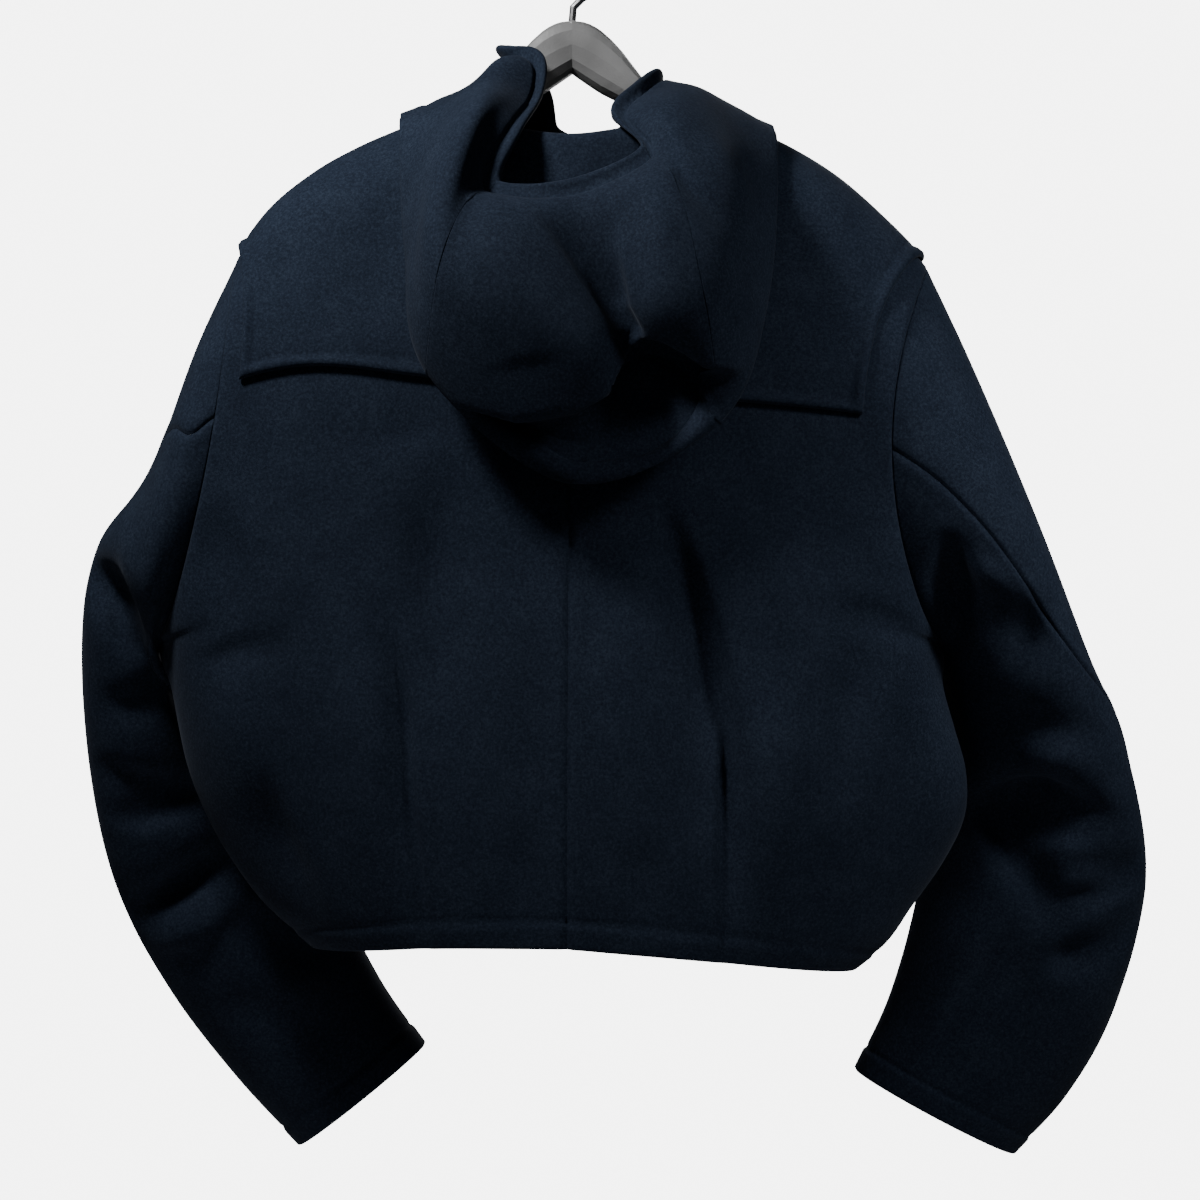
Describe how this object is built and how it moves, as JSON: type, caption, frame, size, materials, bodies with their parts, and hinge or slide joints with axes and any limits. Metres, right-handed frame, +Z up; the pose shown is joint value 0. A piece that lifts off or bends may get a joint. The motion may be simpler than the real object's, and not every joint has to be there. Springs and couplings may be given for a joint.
{
  "type": "duffle coat on hanger",
  "caption": "Cropped wool duffle coat with a shoulder yoke and its hood fallen back, hanging buttoned on a broad plastic hanger with a wire hook",
  "frame": {"origin": "inside top of the hook's bend, where the rail it hangs on would touch it", "axes": "+X towards the wearer's right, +Y the way the wearer faces, +Z up"},
  "size_m": [0.7385, 0.3219, 0.8522],
  "materials": {
    "wool": "thick felted wool, navy",
    "hanger_plastic": "moulded, grey",
    "hook_metal": "bright plated wire",
    "toggle_horn": "dark horn look",
    "cord": "round navy cord",
    "leather": "smooth black"
  },
  "bodies": {
    "root": {"back_left": "wool", "back_right": "wool", "front_left": "wool", "front_right": "wool", "shoulder_yoke": "wool", "top_sleeve_left": "wool", "top_sleeve_right": "wool", "under_sleeve_left": "wool", "under_sleeve_right": "wool", "hood_side_left": "wool", "hood_centre": "wool", "hood_side_right": "wool", "hanger": "hanger_plastic", "hanger_hook": "hook_metal", "toggle_1": "toggle_horn", "toggle_2": "toggle_horn", "toggle_3": "toggle_horn", "toggle_cord_1": "cord", "toggle_cord_2": "cord", "toggle_cord_3": "cord", "loop_cord_1": "cord", "loop_cord_2": "cord", "loop_cord_3": "cord", "tab_left_1": "leather", "tab_left_2": "leather", "tab_left_3": "leather", "tab_right_1": "leather", "tab_right_2": "leather", "tab_right_3": "leather"}
  },
  "joints": []
}
